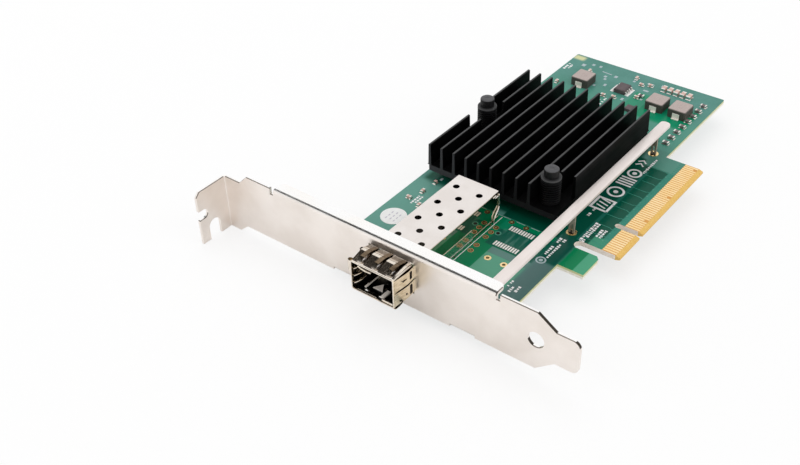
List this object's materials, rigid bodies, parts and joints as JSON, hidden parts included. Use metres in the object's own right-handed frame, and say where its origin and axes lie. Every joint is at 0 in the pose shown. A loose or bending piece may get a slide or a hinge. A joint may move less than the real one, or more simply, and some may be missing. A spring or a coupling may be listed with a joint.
{
  "type": "network interface card",
  "caption": "Expansion card: circuit board with gold edge contacts, folded mounting bracket, sprung module cage, finned heat sink on sprung push pins and a stiffener bar.",
  "frame": {"origin": "the point where the bracket's outer face, the lower edge of the gold card edge and the component side of the board meet", "axes": "+X from the bracket to the rear of the board, +Y from the gold edge up to the screw tab, +Z out of the component side, so the card lies with its component side up"},
  "size_m": [0.1494, 0.12, 0.0241],
  "materials": {
    "board_laminate": "glossy solder mask",
    "gold_plate": "gold plated",
    "bracket_steel": "nickel plated, satin",
    "cage_steel": "bright tin plated",
    "collar_steel": "bright spring sheet",
    "screw_steel": "zinc plated",
    "bar_steel": "nickel plated, satin",
    "spring_steel": "bright wire",
    "tin_plate": "tinned",
    "lid_metal": "nickel plated, satin",
    "sink_aluminium": "black anodised",
    "pin_plastic": "moulded",
    "connector_plastic": "moulded",
    "chip_plastic": "moulded",
    "chip_laminate": "satin",
    "inductor_core": "pressed powder",
    "capacitor_ceramic": "fired",
    "pad_rubber": "soft",
    "label_paper": "matte"
  },
  "bodies": {
    "root": {"circuit_board": "board_laminate", "edge_contacts_top": "gold_plate", "edge_contacts_bottom": "gold_plate", "mounting_bracket": "bracket_steel", "bracket_nuts": "screw_steel", "bracket_screws": "screw_steel", "cage_shell": "cage_steel", "cage_floor": "cage_steel", "cage_spring_collar": "collar_steel", "module_connector": "connector_plastic", "connector_contacts": "gold_plate", "controller_chip": "chip_laminate", "chip_lid": "lid_metal", "thermal_pad": "pad_rubber", "heat_sink": "sink_aluminium", "heat_sink_pins": "pin_plastic", "heat_sink_springs": "spring_steel", "stiffener_bar": "bar_steel", "bar_legs": "bar_steel", "spare_port_pads": "tin_plate", "round_label": "label_paper", "inductor_1": "inductor_core", "inductor_1_terminals": "tin_plate", "inductor_2": "inductor_core", "inductor_2_terminals": "tin_plate", "inductor_3": "inductor_core", "inductor_3_terminals": "tin_plate", "regulator_chip": "chip_plastic", "regulator_chip_leads": "tin_plate", "memory_chip": "chip_plastic", "memory_chip_leads": "tin_plate", "supervisor_chip": "chip_plastic", "crystal_can": "lid_metal", "rear_capacitors": "capacitor_ceramic", "rear_capacitors_ends": "tin_plate", "small_capacitors": "capacitor_ceramic", "small_capacitors_ends": "tin_plate", "edge_row_parts": "capacitor_ceramic", "edge_row_parts_ends": "tin_plate", "decoupling_capacitors": "capacitor_ceramic", "decoupling_capacitors_ends": "tin_plate"}
  },
  "joints": []
}
